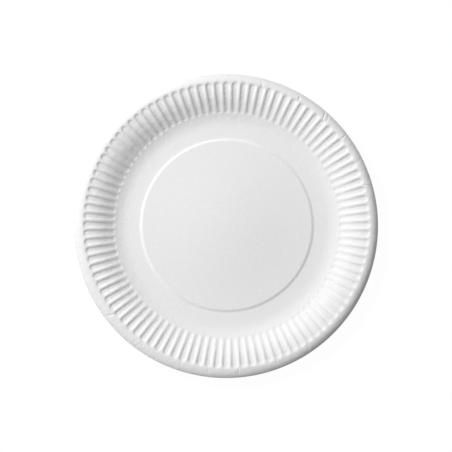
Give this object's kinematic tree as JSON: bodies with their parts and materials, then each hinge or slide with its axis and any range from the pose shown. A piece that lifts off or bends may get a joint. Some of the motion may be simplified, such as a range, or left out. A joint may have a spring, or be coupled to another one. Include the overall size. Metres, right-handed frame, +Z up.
{
  "type": "paper plate",
  "caption": "Round white pressed-paper plate with a raised middle, a fluted sloping side and a rolled-down rim.",
  "frame": {"origin": "middle of the plate in the plane of the table it stands on, which is the underside of the flat ring around the raised middle", "axes": "+Z up, out of the plate's upper face and along its axis of symmetry; one ridge of the fluting lies half a flute pitch from +X"},
  "size_m": [0.2298, 0.2298, 0.0138],
  "materials": {
    "white_board": "matte, uncoated white"
  },
  "bodies": {
    "root": {"paper_plate": "white_board"}
  },
  "joints": []
}
